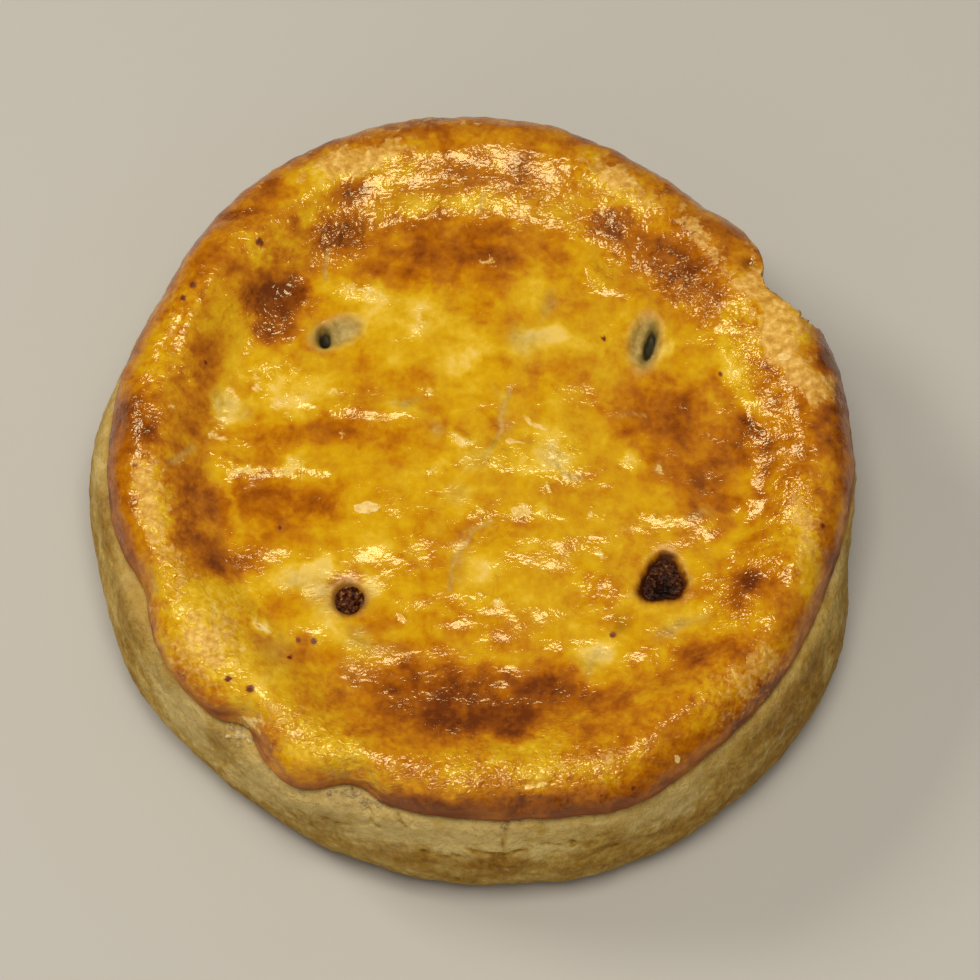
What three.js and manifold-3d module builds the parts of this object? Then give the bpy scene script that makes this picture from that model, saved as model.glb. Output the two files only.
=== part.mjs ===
// A single-serving steak pie: a pale pastry case closed by a glazed pastry lid with four steam vents.
// Two of the vents have filled with gravy that boiled up and dried.
// Millimetres, +Z up, the origin on the table under the middle of the pie, the front towards -Y.
import * as THREE from "three";
import { mergeVertices } from "three/addons/utils/BufferGeometryUtils.js";
import Module from "manifold-3d";

const wasm = await Module();
wasm.setup();

// Heights above the table
const seamHeight = 26.5; // top of the case, where the lid lies on it
const wellHeight = 30; // lowest ring of the lid's sunken middle
const domeRise = 0.9; // how far the centre of the lid swells above that ring
const crestHeight = 34; // top of the raised rim
const lipHeight = 28.4; // widest ring of the lid's edge
const bulgeHeight = 9; // widest ring of the case

// Radii from the pie's axis
const lidRadius = 55.2; // outer edge of the lid
const crestRadius = 48.2; // highest ring of the rim
const wellRadius = 39.5; // foot of the rim's inner slope
const caseTopRadius = 54.3; // edge of the case under the lid
const bulgeRadius = 58.3; // widest ring of the case
const footRadius = 54.4; // flat underside of the case

const lidEdgeRound = 1.9; // rounding over the lid's outer shoulder
const lidEdgeTuck = 0.7; // how far the edge turns in again where it meets the case
const caseFootRound = 2.4; // rounding under the case
const lipFade = 1; // the relief of the lid's top dies out over this height at its lip
const lobeStart = 30; // the lobes of an edge die out at this radius
const nickStart = 46; // nicks in the lid's edge die out at this radius
const seamGap = 0.3; // between the lid and what lies against it
const middle = { x: 1.9, y: 0.3 }; // the lid's axis, seen from the middle of the whole outline

const sectors = 120; // facets round the pie
const ventSectors = 24; // facets round a vent
const lidRings = { top: 21, edge: 5 };
const caseRings = 14;

// Where an edge swells out or was pressed in: direction from +X and spread in degrees, reach in mm
const lidLobes = [
  { at: 55, spread: 11, out: -1.4 },
  { at: 114, spread: 20, out: 1.8 },
  { at: 152, spread: 6, out: -0.9 },
  { at: 218, spread: 6, out: 0.6 },
  { at: 242, spread: 4.5, out: 1.9 },
  { at: 262, spread: 6, out: -0.4 },
  { at: 292, spread: 7, out: 1.9 },
  { at: 308, spread: 10, out: 0.5 },
  { at: 339, spread: 9, out: -0.7 },
];
const lidNicks = [
  { at: 202, spread: 4.5, out: -1.9 },
  { at: 231, spread: 2.5, out: -2.1 },
  { at: 250, spread: 3.5, out: -2.6 },
];
const caseLobes = [
  { at: 0, spread: 11, out: -3 },
  { at: 57, spread: 16, out: -1.4 },
  { at: 177, spread: 7, out: 1.3 },
  { at: 206, spread: 7, out: 0.7 },
  { at: 234, spread: 13, out: -0.9 },
  { at: 297, spread: 17, out: 1.3 },
  { at: 328, spread: 10, out: 0.8 },
];

// A flake of the lid's edge has broken off: from one end it deepens slowly, at the other it ends in a step.
// The case gives way under it near its top, by this share of the depth.
const brokenEdge = {
  from: 20.5,
  full: 28,
  step: 33.2,
  to: 35.6,
  depth: 5,
  ragged: 0.4,
  teeth: 46,
  caseShare: 0.65,
};

// Rise and fall of the rim: waves round the lid, height in mm, phase in degrees
const rimWaves = [
  { waves: 2, height: 0.45, phase: 130 },
  { waves: 5, height: 0.35, phase: 40 },
  { waves: 9, height: 0.2, phase: 250 },
];
const rimSpread = 5; // how far the waves reach on either side of the crest

// Bubbles and hollows of the baked pastry
const lumpSeed = 11;
const lumpCount = 70;
const lumpHeight = 0.7;
const lumpSpread = { least: 2.6, most: 5.2 };
const wallLumps = { share: 0.25, stretch: 2 }; // the same lumps on the wall, lower and lying flat

// Steam vents: place, half-widths, turn in degrees, and how far three corners pull the outline out.
// Where gravy filled one, its surface lies this far below the lowest ring of the lid.
const ventTaper = 0.62; // width at the lid's underside as a share of the width at its top
const ventDimple = { depth: 0.9, spread: 3.2 };
const vents = [
  { name: "back_left", x: -22.3, y: 20, halfX: 3.4, halfY: 1.9, turn: 24, corners: 0 },
  { name: "back_right", x: 24.6, y: 18.8, halfX: 1.8, halfY: 3.7, turn: -12, corners: 0 },
  { name: "left", x: -19.4, y: -22.1, halfX: 2.7, halfY: 2.7, turn: 0, corners: 0.03, gravy: 0.5 },
  { name: "right", x: 26.6, y: -19, halfX: 3.3, halfY: 3.8, turn: -30, corners: 0.12, gravy: 1.9 },
];

const degrees = THREE.MathUtils.degToRad;
const { smoothstep, lerp, seededRandom } = THREE.MathUtils;
const bell = (distance, spread) => Math.exp(-0.5 * (distance / spread) ** 2);

const glazedPastry = new THREE.MeshStandardMaterial({ color: 0xc98a1e, roughness: 0.35, metalness: 0 });
const palePastry = new THREE.MeshStandardMaterial({ color: 0xb59a5c, roughness: 0.85, metalness: 0 });
const driedGravy = new THREE.MeshStandardMaterial({ color: 0x3a1d10, roughness: 0.45, metalness: 0 });

// The shortest way round from one direction to another, in degrees
function turnBetween(angle, other) {
  return THREE.MathUtils.euclideanModulo(angle - other + 180, 360) - 180;
}

// Sum of the swellings and dents of an edge in one direction
function lobeReach(lobes, angle) {
  return lobes.reduce((sum, lobe) => sum + lobe.out * bell(turnBetween(angle, lobe.at), lobe.spread), 0);
}

// Depth of the broken flake in one direction
function breakDepth(angle) {
  const { from, full, step, to, depth, ragged, teeth } = brokenEdge;
  const inside = smoothstep(angle, from, full) * (1 - smoothstep(angle, step, to));
  return inside * (depth + ragged * Math.sin(degrees(angle * teeth)));
}

// Height of the rim's crest above its mean
function rimWave(angle) {
  return rimWaves.reduce((sum, w) => sum + w.height * Math.sin(degrees(w.waves * angle + w.phase)), 0);
}

// Seeded bubbles and hollows, spread evenly over the lid by the sunflower rule
function scatterLumps() {
  const goldenAngle = Math.PI * (3 - Math.sqrt(5));
  seededRandom(lumpSeed);
  return Array.from({ length: lumpCount }, (_, i) => {
    const radius = lidRadius * Math.sqrt((i + 0.5) / lumpCount);
    return {
      x: radius * Math.cos(i * goldenAngle),
      y: radius * Math.sin(i * goldenAngle),
      height: lumpHeight * (2 * seededRandom() - 1),
      spread: lerp(lumpSpread.least, lumpSpread.most, seededRandom()),
    };
  });
}

const lumps = scatterLumps();

function lumpRelief(x, y) {
  return lumps.reduce((sum, l) => sum + l.height * bell(Math.hypot(x - l.x, y - l.y), l.spread), 0);
}

function ventRelief(x, y) {
  const { depth, spread } = ventDimple;
  return vents.reduce((sum, v) => sum - depth * bell(Math.hypot(x - v.x, y - v.y), spread), 0);
}

// A closed body of revolution about Z, each vertex then moved by shape(point)
function turned(profile, facets, shape) {
  const geometry = new THREE.LatheGeometry(profile, facets);
  geometry.rotateX(Math.PI / 2);
  geometry.deleteAttribute("normal");
  geometry.deleteAttribute("uv");
  const closed = mergeVertices(geometry);
  const position = closed.getAttribute("position");
  const point = new THREE.Vector3();
  for (let i = 0; i < position.count; i++) {
    shape(point.fromBufferAttribute(position, i));
    position.setXYZ(i, point.x, point.y, point.z);
  }
  return closed;
}

function solidFrom(geometry) {
  const vertProperties = geometry.getAttribute("position").array;
  const triVerts = new Uint32Array(geometry.index.array);
  return new wasm.Manifold(new wasm.Mesh({ numProp: 3, vertProperties, triVerts }));
}

function geometryFrom(solid) {
  const { vertProperties, triVerts } = solid.getMesh();
  const geometry = new THREE.BufferGeometry();
  geometry.setAttribute("position", new THREE.BufferAttribute(vertProperties, 3));
  geometry.setIndex(new THREE.BufferAttribute(triVerts, 1));
  geometry.computeVertexNormals();
  return geometry;
}

function piece(name, geometry, material) {
  const mesh = new THREE.Mesh(geometry, material);
  mesh.name = name;
  return mesh;
}

const point2 = (radius, height) => new THREE.Vector2(radius, height);

// From the middle of the lid over the rim to its lip, then back under it
function lidProfile() {
  const underside = seamHeight + seamGap;
  const shoulder = point2(lidRadius - lidEdgeRound, crestHeight - lidEdgeRound);
  const overTop = new THREE.SplineCurve([
    point2(0, wellHeight + domeRise),
    point2(wellRadius / 2, wellHeight + 0.7 * domeRise),
    point2(wellRadius, wellHeight),
    point2((wellRadius + crestRadius) / 2, (wellHeight + crestHeight) / 2),
    point2(crestRadius, crestHeight),
    shoulder,
  ]);
  const roundEdge = new THREE.SplineCurve([
    shoulder,
    point2(lidRadius, lipHeight),
    point2(lidRadius - lidEdgeTuck, underside),
  ]);
  const underneath = [wellRadius, wellRadius / 2, 0].map((radius) => point2(radius, underside));
  return [
    ...overTop.getSpacedPoints(lidRings.top),
    ...roundEdge.getSpacedPoints(lidRings.edge).slice(1),
    ...underneath,
  ];
}

// Up the outside of the case from its flat foot, between the rings of its underside and of its top
function caseProfile() {
  const wall = new THREE.SplineCurve([
    point2(footRadius, 0),
    point2(footRadius + caseFootRound, caseFootRound / 2),
    point2(bulgeRadius, bulgeHeight),
    point2((bulgeRadius + caseTopRadius) / 2, (bulgeHeight + seamHeight) / 2 + caseFootRound),
    point2(caseTopRadius, seamHeight),
  ]);
  return [
    point2(0, 0),
    point2(lobeStart, 0),
    ...wall.getSpacedPoints(caseRings),
    point2(lobeStart, seamHeight),
    point2(0, seamHeight),
  ];
}

const bottomUp = (profile) => [...profile].reverse();

// Moves a point straight out from the axis or towards it
function scaleAcross(point, factor) {
  point.x *= factor;
  point.y *= factor;
}

function shapeLid(point) {
  const radius = Math.hypot(point.x, point.y);
  const angle = THREE.MathUtils.radToDeg(Math.atan2(point.y, point.x));
  const onTop = smoothstep(point.z, lipHeight - lipFade, lipHeight + lipFade);
  const onRim = bell(radius - crestRadius, rimSpread);
  const lobes = lobeReach(lidLobes, angle);
  const nicks = lobeReach(lidNicks, angle);
  const outward =
    lobes * smoothstep(radius, lobeStart, lidRadius) + nicks * smoothstep(radius, nickStart, lidRadius);
  scaleAcross(point, 1 + outward / lidRadius);
  const limit = lidRadius + lobes + nicks - breakDepth(angle);
  scaleAcross(point, Math.min(1, limit / Math.hypot(point.x, point.y)));
  const relief = lumpRelief(point.x, point.y) + ventRelief(point.x, point.y);
  point.z += onTop * (onRim * rimWave(angle) + relief);
}

function shapeCase(point) {
  const radius = Math.hypot(point.x, point.y);
  const angle = THREE.MathUtils.radToDeg(Math.atan2(point.y, point.x));
  const nearWall = smoothstep(radius, lobeStart, caseTopRadius);
  const lumpiness = wallLumps.share * lumpRelief(point.x, point.y + wallLumps.stretch * point.z);
  const givesWay = brokenEdge.caseShare * breakDepth(angle) * smoothstep(point.z, bulgeHeight, seamHeight);
  const reach = lobeReach(caseLobes, angle) + lumpiness - givesWay;
  scaleAcross(point, 1 + (nearWall * reach) / bulgeRadius);
}

// A tapered body that follows a vent's outline, narrowed all round by a clearance
function ventBody(vent, heights, clearance) {
  const { bottom, top } = heights;
  const widthAt = (z) => lerp(ventTaper, 1, (z - seamHeight) / (wellHeight - seamHeight));
  const profile = [
    point2(0, bottom),
    point2(widthAt(bottom), bottom),
    point2(widthAt(top), top),
    point2(0, top),
  ];
  const turn = degrees(vent.turn);
  return turned(profile, ventSectors, (point) => {
    const corner = 1 + vent.corners * Math.cos(3 * Math.atan2(point.y, point.x));
    const across = point.x * (vent.halfX * corner - clearance);
    const along = point.y * (vent.halfY * corner - clearance);
    point.x = vent.x + across * Math.cos(turn) - along * Math.sin(turn);
    point.y = vent.y + across * Math.sin(turn) + along * Math.cos(turn);
  });
}

function makeLid() {
  const through = { bottom: seamHeight - 1, top: crestHeight + 1 };
  let lid = solidFrom(turned(bottomUp(lidProfile()), sectors, shapeLid));
  for (const vent of vents) {
    lid = lid.subtract(solidFrom(ventBody(vent, through, 0)));
  }
  return piece("pastry_lid", geometryFrom(lid), glazedPastry);
}

function makeCase() {
  return piece("pastry_case", turned(caseProfile(), sectors, shapeCase), palePastry);
}

// Gravy that dried in a vent, standing on the case and a little below the lid's surface
function makeGravy(vent) {
  const heights = { bottom: seamHeight + seamGap, top: wellHeight - vent.gravy };
  return piece(`gravy_${vent.name}`, ventBody(vent, heights, seamGap), driedGravy);
}

const pie = new THREE.Group();
pie.position.set(middle.x, middle.y, 0);
pie.add(makeCase(), makeLid());
for (const vent of vents.filter((v) => v.gravy)) {
  pie.add(makeGravy(vent));
}

export default pie;
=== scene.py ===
import math
import random
import bpy
import numpy as np
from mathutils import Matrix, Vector, noise


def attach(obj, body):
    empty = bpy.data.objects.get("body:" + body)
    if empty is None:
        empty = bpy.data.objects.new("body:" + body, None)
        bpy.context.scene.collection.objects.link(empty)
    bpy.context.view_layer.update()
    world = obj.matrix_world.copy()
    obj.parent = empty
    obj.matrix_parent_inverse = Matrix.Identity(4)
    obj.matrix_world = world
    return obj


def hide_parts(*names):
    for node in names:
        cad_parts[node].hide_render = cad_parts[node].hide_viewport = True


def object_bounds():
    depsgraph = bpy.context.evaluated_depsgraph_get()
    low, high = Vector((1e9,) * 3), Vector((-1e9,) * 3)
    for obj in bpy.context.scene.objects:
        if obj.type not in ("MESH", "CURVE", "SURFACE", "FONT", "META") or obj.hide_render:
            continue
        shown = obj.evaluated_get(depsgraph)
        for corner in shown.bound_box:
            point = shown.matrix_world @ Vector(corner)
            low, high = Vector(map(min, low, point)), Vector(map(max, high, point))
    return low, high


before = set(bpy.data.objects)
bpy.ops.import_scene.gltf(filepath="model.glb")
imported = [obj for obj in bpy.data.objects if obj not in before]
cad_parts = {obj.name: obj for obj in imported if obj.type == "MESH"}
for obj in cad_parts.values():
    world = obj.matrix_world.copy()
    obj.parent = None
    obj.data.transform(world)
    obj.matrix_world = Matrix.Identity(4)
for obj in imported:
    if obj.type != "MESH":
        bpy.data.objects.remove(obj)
cadLow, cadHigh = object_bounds()
print("frame loaded")

mm = 0.001
pieAxis = (1.9, 0.3)  # the lid's middle, from the middle of the pie's outline
axisShift = np.array([*pieAxis, 0])
viewTilt = math.radians(69)  # how steeply the photo looks down
seenHeight = 28  # level on which places are read from the photo


# Working on meshes
def deselectAll():
    bpy.ops.object.select_all(action="DESELECT")


def makeActive(piece):
    deselectAll()
    piece.select_set(True)
    bpy.context.view_layer.objects.active = piece


def onAxis(height):
    return pieAxis[0] * mm, pieAxis[1] * mm, height * mm


def addPiece(name, operator, **options):
    deselectAll()
    operator(**options)
    piece = bpy.context.object
    piece.name = name
    return piece


def startCircle(name, sides, radius, height, fill):
    size = {"vertices": sides, "radius": radius * mm, "location": onAxis(height)}
    piece = addPiece(name, bpy.ops.mesh.primitive_circle_add, fill_type=fill, **size)
    bpy.ops.object.transform_apply(location=True, rotation=False, scale=False)
    return piece


def extrudeRings(rings):
    # rings are (radius, height); the open edge stands on the first one
    bpy.ops.mesh.select_all(action="SELECT")
    bpy.ops.mesh.region_to_loop()
    for (radius, height), (nextRadius, nextHeight) in zip(rings, rings[1:]):
        share = nextRadius / radius
        rise = (0, 0, (nextHeight - height) * mm)
        bpy.ops.mesh.extrude_region_move(TRANSFORM_OT_translate={"value": rise})
        bpy.ops.transform.resize(value=(share, share, 1), center_override=onAxis(nextHeight))


def subdivide(piece, levels):
    makeActive(piece)
    smoother = piece.modifiers.new("smoother", "SUBSURF")
    smoother.levels = levels
    smoother.render_levels = levels
    bpy.ops.object.modifier_apply(modifier=smoother.name)


def closeMiddle(piece, shares, height):
    # runs the open edge in flat and closes it on the axis
    makeActive(piece)
    bpy.ops.object.mode_set(mode="EDIT")
    bpy.ops.mesh.select_all(action="SELECT")
    bpy.ops.mesh.region_to_loop()
    for share in shares:
        bpy.ops.mesh.extrude_region_move()
        bpy.ops.transform.resize(value=(share, share, 1), center_override=onAxis(height))
    bpy.ops.mesh.extrude_region_move()
    bpy.ops.mesh.merge(type="CENTER")
    bpy.ops.mesh.select_all(action="SELECT")
    bpy.ops.mesh.normals_make_consistent(inside=False)
    bpy.ops.object.mode_set(mode="OBJECT")


def buildBlank(name, form):
    # a disc whose edge is drawn out ring by ring, smoothed, and closed on the axis
    fill = "NOTHING" if form["gridSpan"] else "NGON"
    blank = startCircle(name, form["sides"], *form["rings"][0], fill)
    bpy.ops.object.mode_set(mode="EDIT")
    if form["gridSpan"]:
        bpy.ops.mesh.select_all(action="SELECT")
        bpy.ops.mesh.fill_grid(span=form["gridSpan"])
    extrudeRings(form["rings"])
    bpy.ops.object.mode_set(mode="OBJECT")
    subdivide(blank, form["detail"])
    closeMiddle(blank, form["closingShares"], form["rings"][-1][1])
    print(name, "blank", len(blank.data.vertices), "points")
    return blank


def readPoints(piece):
    # in millimetres about the pie's axis
    points = np.empty(len(piece.data.vertices) * 3)
    piece.data.vertices.foreach_get("co", points)
    return points.reshape(-1, 3) / mm - axisShift


def freshPoints(piece):
    # those of a new primitive, about its own middle
    return readPoints(piece) + axisShift


def readNormals(piece):
    normals = np.empty(len(piece.data.vertices) * 3)
    piece.data.vertices.foreach_get("normal", normals)
    return normals.reshape(-1, 3)


def writePoints(piece, points):
    moved = (points + axisShift) * mm
    piece.data.vertices.foreach_set("co", moved.ravel())
    piece.data.update()


def writeLayers(piece, **layers):
    # amounts from 0 to 1 at every point, for the finish to read
    for name, values in layers.items():
        channel = piece.data.attributes.new(name, "FLOAT", "POINT")
        channel.data.foreach_set("value", np.clip(values, 0, 1).astype(np.float32))


def polar(points):
    radius = np.hypot(points[:, 0], points[:, 1])
    angle = np.degrees(np.arctan2(points[:, 1], points[:, 0])) % 360
    return radius, angle


# Soft shapes that relief and browning are made of
def bell(distance, spread):
    return np.exp(-0.5 * (distance / spread) ** 2)


def ease(value, low, high):
    share = np.clip((value - low) / (high - low), 0, 1)
    return share * share * (3 - 2 * share)


def turnBetween(angle, other):
    return (angle - other + 180) % 360 - 180


def turned(x, y, degrees):
    cos, sin = math.cos(math.radians(degrees)), math.sin(math.radians(degrees))
    return x * cos - y * sin, x * sin + y * cos


def lobeReach(angle, lobes):
    return sum(out * bell(turnBetween(angle, at), spread) for at, spread, out in lobes)


def waves(points, size, seed, octaves=1):
    # smooth noise from about -1 to 1, its lumps about this many millimetres wide
    shifted = points / np.asarray(size, float) + seed * 17.3
    if octaves == 1:
        return np.array([noise.noise(p) for p in shifted])
    return np.array([noise.fractal(p, 1.0, 2.0, octaves) for p in shifted])


def lumps(points, rows):
    # rows are (height, size, seed, octaves)
    return sum(height * waves(points, size, seed, octaves) for height, size, seed, octaves in rows)


def spots(x, y, ovals):
    # ovals are (x, y, half-width, half-height, turn in degrees, amount)
    total = np.zeros_like(x)
    for spotX, spotY, halfX, halfY, turn, amount in ovals:
        across, along = turned(x - spotX, y - spotY, -turn)
        total += amount * np.exp(-(((across / halfX) ** 2 + (along / halfY) ** 2) ** 1.5))
    return total


def covered(x, y, ovals):
    # the same, but never past 1 where spots meet
    return np.clip(spots(x, y, ovals), 0, 1)


def lines(x, y, routes):
    # routes are (width, points); 1 on a line, falling off to either side
    total = np.zeros_like(x)
    for width, route in routes:
        nearest = np.full_like(x, 1e6)
        for (startX, startY), (endX, endY) in zip(route, route[1:]):
            stepX, stepY = endX - startX, endY - startY
            share = ((x - startX) * stepX + (y - startY) * stepY) / (stepX**2 + stepY**2)
            share = np.clip(share, 0, 1)
            apart = np.hypot(x - startX - share * stepX, y - startY - share * stepY)
            nearest = np.minimum(nearest, apart)
        total = np.maximum(total, bell(nearest, width))
    return total


def asSeen(points):
    # a point's place in the photo, laid out flat on one level
    return points[:, 0], points[:, 1] + (points[:, 2] - seenHeight) / math.tan(viewTilt)


def strayed(points, x, y, far, near):
    # the same places pushed about a little, so that patches get uneven edges
    strayX = far * waves(points, 7, 41, 2) + near * waves(points, 1.8, 42, 2)
    strayY = far * waves(points, 7, 43, 2) + near * waves(points, 1.8, 44, 2)
    return x + strayX, y + strayY


# Steam vents: place, half-widths, turn, how far three corners pull the outline out, depth, softness
# of the wall, and the mark round it: kind, amount, where it starts to fade and where it ends
ventKeys = ("at", "half", "turn", "corners", "depth", "soft", "mark")
ventRows = {
    "backLeft": ((-21.4, 20.3), (3.6, 2.0), 24, 0, 0.8, 0.7, ("steamed", 0.95, 0.6, 1.5)),
    # the slits' shade mark is painted shade
    "backLeftSlit": ((-23.4, 19.5), (1.1, 1.6), 0, 0, 1.4, 0.5, ("shade", 1, 0.4, 1.25)),
    "backRight": ((24.5, 18.6), (2.2, 4.0), -8, 0, 0.8, 0.5, ("steamed", 0.95, 0.6, 1.5)),
    "backRightSlit": ((25.2, 18.8), (0.95, 2.9), -14, 0, 1.5, 0.4, ("shade", 1, 0.4, 1.25)),
    "left": ((-19.3, -22.1), (2.3, 2.3), 0, 0.03, 0.6, 0.3, ("scorch", 0.5, 0.9, 1.6)),
    "right": ((26.6, -19.1), (3.1, 3.7), -30, 0.12, 1.9, 0.45, ("scorch", 0.8, 0.7, 1.5)),
}
ventHoles = {name: dict(zip(ventKeys, row)) for name, row in ventRows.items()}
lowestDig = 27.1  # the vents stay above the lid's underside


def ventDistance(points, vent):
    # 1 on the vent's outline, less inside it
    across, along = turned(points[:, 0] - vent["at"][0], points[:, 1] - vent["at"][1], -vent["turn"])
    across, along = across / vent["half"][0], along / vent["half"][1]
    corner = 1 + vent["corners"] * np.cos(3 * np.arctan2(along, across))
    return np.hypot(across, along) / corner


# The glazed lid; a zone is where an effect starts and where it is full
lidForm = {
    "sides": 104,
    "gridSpan": 26,
    "detail": 3,
    # radius, height
    "rings": [
        (40, 30), (44, 32), (48.2, 34.3), (52.2, 33.4),
        (54.5, 31), (55.3, 28.8), (55.4, 27.4), (54.8, 26.8),
    ],
    "closingShares": [0.8, 0.5],
    "lidRadius": 55.2,
    "crestRadius": 48.2,
    "crestSpread": 5,
    "domeRise": 0.9,
    "wellZone": (0, 39.5),
    "topZone": (27.4, 29.4),
    "lobeZone": (30, 55.2),
    "nickZone": (48, 55),
}
# waves of the outline and its nicks: angle, spread, how far out
lidLobes = [
    (55, 11, -1.4), (114, 20, 1.8), (152, 6, -0.9), (242, 4.5, 1.9), (218, 6, 0.6), (262, 6, -0.4),
    (292, 7, 1.9), (308, 10, 0.5), (339, 9, -0.7), (51, 4, -0.6),
]
lidNicks = [(202, 4.5, -1.9), (230.5, 2.2, -2.1), (249.5, 3.4, -2.6)]
# waves of the rim: how many, height, phase
rimWaves = [(2, 0.45, 130), (5, 0.35, 40), (9, 0.2, 250)]
# the broken edge: angle, how far out the lid still reaches there
brokenEdge = [
    (21.4, 56), (22.3, 54.2), (22.8, 52.5), (23.5, 53.2), (24.1, 51.9), (24.9, 52.5), (25.6, 51.6),
    (28.1, 50.8), (31.6, 50.1), (34.3, 50.3), (34.8, 51.6), (36.7, 52.5), (38.3, 53.2), (40.5, 53.4),
    (43.4, 54.2), (46, 56),
]
beyondLid = 99  # further out than the lid is anywhere
brokenFace = (22.2, 35.0)  # angles between which the break is ragged
brokenMiddle = 31
# raggedness of the whole edge and of the break, and layers in the break: height, size, seed, octaves
edgeRagged = [(0.2, 4.0, 1, 1), (0.14, 1.5, 2, 1)]
breakRagged = [(0.4, 1.9, 3, 1), (0.3, 0.8, 4, 1)]
breakLayers = [(0.6, (3, 3, 0.9), 45, 2)]
edgeHollow = (40.2, 32.2)  # a small hollow beside the break
hollowStretch = 1.2
# the crumbled top beside the break
crumbledSpots = [
    (43.6, 25, 2.2, 5, 30, 0.9), (45.4, 17.6, 1.8, 3.6, 22, 0.7), (48.5, 12.2, 2, 1.2, -40, 0.5),
]
# lines on the lid: width, points
cracks = [
    (0.26, [(4.3, 11.6), (2.8, 7), (3.1, 5.2), (1.4, 2.2), (0.2, 1)]),
    (0.2, [(1.5, -9.3), (-1.2, -10.6), (-1.9, -12.6), (-4, -14.8), (-4.6, -20)]),
    (0.12, [(20.2, 7.4), (22.4, 7.9), (24.4, 7.5)]),
    (0.3, [(10.6, 0.5), (12.5, -2), (14.7, -2.4)]),
    (0.3, [(-45.7, 0.2), (-44, 1.2), (-42.7, 2.4)]),
    (0.2, [(-23, 34.5), (-23.6, 31.5), (-23.2, 29.6)]),
    (0.18, [(-0.2, 40.5), (0.2, 43.5)]),
]
creases = [
    (0.9, [(34.1, 14.5), (38.5, 8.4), (41.8, 4.1), (42.6, -0.3), (41.5, -3.5), (41.1, -6.7)]),
]
ridges = [
    (0.8, [(-38, 0.6), (-34, -0.8), (-29.5, -0.3), (-23, -0.9)]),
    (0.9, [(-27, 10), (-18, 8.6), (-10, 8.4)]),
    (1, [(17.5, 40), (15.5, 33), (18, 29), (24, 26.5)]),
]
# where the lid is smooth between its lumps
calmSpots = [(-5, -33.5, 13, 5.5, 0, 1.2)]


def ringPoints(angle, radius):
    return np.stack([np.cos(np.radians(angle)), np.sin(np.radians(angle)), 0 * angle], 1) * radius


def shapeLid(lid):
    points = readPoints(lid)
    radius, angle = polar(points)
    onTop = ease(points[:, 2], *lidForm["topZone"])
    # swelling middle and wavy rim
    points[:, 2] += onTop * lidForm["domeRise"] * (1 - ease(radius, *lidForm["wellZone"]))
    wave = sum(height * np.sin(np.radians(count * angle + phase)) for count, height, phase in rimWaves)
    points[:, 2] += onTop * wave * bell(radius - lidForm["crestRadius"], lidForm["crestSpread"])
    # outline: broad waves reach far in, nicks and raggedness stay at the edge
    ring = ringPoints(angle, lidForm["lidRadius"])
    sharp = lobeReach(angle, lidNicks) + lumps(ring, edgeRagged)
    outward = lobeReach(angle, lidLobes) * ease(radius, *lidForm["lobeZone"])
    outward += sharp * ease(radius, *lidForm["nickZone"])
    points[:, :2] *= (1 + outward / lidForm["lidRadius"])[:, None]
    # the broken edge
    faceStart, faceEnd = brokenFace
    face = ease(angle, faceStart, faceStart + 1) * (1 - ease(angle, faceEnd - 0.6, faceEnd))
    uneven = lumps(ring, breakRagged) + lumps(points, breakLayers)
    limit = np.interp(angle, *zip(*brokenEdge), left=beyondLid, right=beyondLid) + face * uneven
    radius = polar(points)[0]
    cut = radius > limit
    points[cut, :2] *= (limit / radius)[cut][:, None]
    writePoints(lid, points)
    return cut * face


def hollowDistance(x, y):
    return np.hypot((x - edgeHollow[0]) / hollowStretch, y - edgeHollow[1])


lidRelief = {
    # height, size, seed, octaves
    "lumps": [(0.42, (11, 8, 10), 5, 2), (0.13, (5, 3.6, 4), 6, 2), (0.04, (2.2, 1.7, 2), 7, 2)],
    "rimLumps": [(0.07, (5, 3.6, 4), 6, 2)],
    "rimWrinkles": [(0.11, (4.5, 1.4, 1), 16, 2)],
    "wellWrinkles": [(0.04, (3.5, 1.6, 2), 17, 2)],
    "rumples": [(0.13, (1.5, 1.1, 1.2), 35, 2)],
    "strokes": [(0.1, 1.1, 37, 2)],
    "crumbled": [(0.14, 1.1, 33, 2)],
    "ventEdge": [(0.1, 1.4, 20, 1)],
    "rimZone": (37, 44),
    "rimRun": 48,  # radius on which the wrinkles of the rim are as long as given
    "calming": 0.85,
    "ridgeRise": 0.4,
    "crackDepth": 0.12,
    "creaseDepth": 0.14,
    "strokeRise": 0.06,
    "crumbledDepth": 0.3,
    "hollowDepth": 1.3,
    "ventDip": 0.2,
    "dipReach": 2.2,
}
# a raised lip along the right of one vent, this share of the vent's own size out
ventLip = {"vent": "backRight", "rise": 0.3, "share": 1.35, "spread": 0.22, "zone": (23.5, 26.5)}


def reliefLid(lid):
    relief = lidRelief
    points, normals = readPoints(lid), readNormals(lid)
    x, y = asSeen(points)
    radius, angle = polar(points)
    up = ease(normals[:, 2], -0.2, 0.4)
    onRim = ease(radius, *relief["rimZone"])
    # long low lumps, then finer ones, with more of them on the rim
    lift = lumps(points, relief["lumps"]) + onRim * lumps(points, relief["rimLumps"])
    lift *= 1 - relief["calming"] * covered(x, y, calmSpots)
    # wrinkles that run round the rim and across the middle, here and there
    here = ease(waves(points, 9, 15), -0.15, 0.45)
    alongRim = np.stack([np.radians(angle) * relief["rimRun"], radius, 0 * radius], 1)
    lift += here * onRim * lumps(alongRim, relief["rimWrinkles"])
    lift += here * (1 - onRim) * lumps(points, relief["wellWrinkles"])
    lift += relief["ridgeRise"] * lines(x, y, ridges)
    lift -= relief["crackDepth"] * lines(x, y, cracks) + relief["creaseDepth"] * lines(x, y, creases)
    # rumpled places that catch the light
    lift += covered(x, y, rumpledSpots) * lumps(points, relief["rumples"])
    lift += covered(x, y, creamStrokes) * (relief["strokeRise"] + lumps(points, relief["strokes"]))
    points += normals * (up * lift)[:, None]
    digVents(points, normals[:, 2] > 0.1, x, y)
    writePoints(lid, points)


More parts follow.
